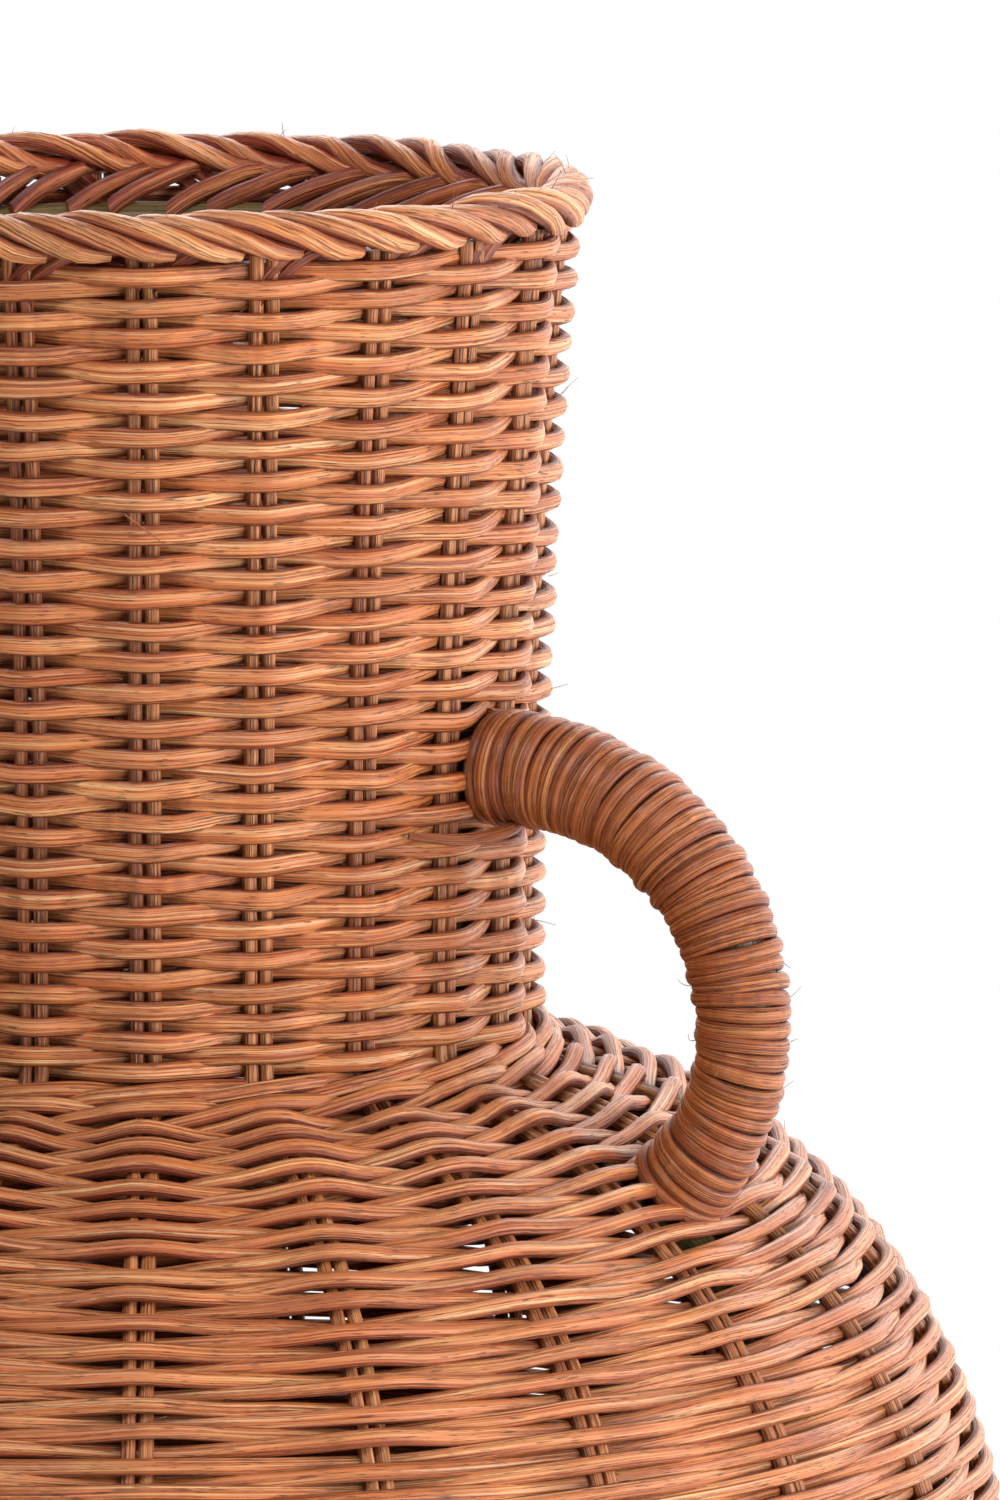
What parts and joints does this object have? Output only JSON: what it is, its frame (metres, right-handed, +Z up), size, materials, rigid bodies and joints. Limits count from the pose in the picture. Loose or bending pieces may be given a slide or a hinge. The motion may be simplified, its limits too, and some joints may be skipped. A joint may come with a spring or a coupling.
{
  "type": "rattan vase",
  "caption": "Woven rattan vase with a round belly, a tall slightly flared neck, a plaited rim and strand-wound handles from neck to shoulder, standing on a flat foot ring.",
  "frame": {"origin": "centre of the foot ring on the floor, on the vase's axis", "axes": "+Z up along the vase's axis, +X towards the handle that the picture shows"},
  "size_m": [0.3503, 0.3497, 0.45],
  "materials": {
    "stained_weave": "satin terracotta-stained rattan core with a fine grain along each strand",
    "stained_stakes": "satin terracotta-stained rattan core, strongly striated",
    "stained_border": "satin terracotta-stained rattan core, plaited",
    "stained_winding": "satin terracotta-stained fine rattan strand",
    "natural_cane": "smooth olive-tan natural cane with its skin on"
  },
  "bodies": {
    "root": {"base_stick_01": "stained_stakes", "base_stick_02": "stained_stakes", "base_stick_03": "stained_stakes", "base_stick_04": "stained_stakes", "base_stick_05": "stained_stakes", "base_stick_06": "stained_stakes", "base_stick_07": "stained_stakes", "base_stick_08": "stained_stakes", "base_stick_09": "stained_stakes", "base_stick_10": "stained_stakes", "base_stick_11": "stained_stakes", "stake_pair_01": "stained_stakes", "stake_pair_02": "stained_stakes", "stake_pair_03": "stained_stakes", "stake_pair_04": "stained_stakes", "stake_pair_05": "stained_stakes", "stake_pair_06": "stained_stakes", "stake_pair_07": "stained_stakes", "stake_pair_08": "stained_stakes", "stake_pair_09": "stained_stakes", "stake_pair_10": "stained_stakes", "stake_pair_11": "stained_stakes", "stake_pair_12": "stained_stakes", "stake_pair_13": "stained_stakes", "stake_pair_14": "stained_stakes", "stake_pair_15": "stained_stakes", "stake_pair_16": "stained_stakes", "stake_pair_17": "stained_stakes", "stake_pair_18": "stained_stakes", "stake_pair_19": "stained_stakes", "stake_pair_20": "stained_stakes", "stake_pair_21": "stained_stakes", "weave_foot_course": "stained_weave", "weave_belly_course": "stained_weave", "weave_upper_belly_course": "stained_weave", "weave_shoulder_course": "stained_weave", "weave_neck_foot_course": "stained_weave", "weave_neck_lower_course": "stained_weave", "weave_neck_upper_course": "stained_weave", "base_weave": "stained_weave", "rim_border": "stained_border", "foot_border": "stained_border", "rim_hoop": "natural_cane", "handle_rib_right": "natural_cane", "handle_core_right": "natural_cane", "handle_winding_right": "stained_winding", "handle_rib_left": "natural_cane", "handle_core_left": "natural_cane", "handle_winding_left": "stained_winding"}
  },
  "joints": []
}
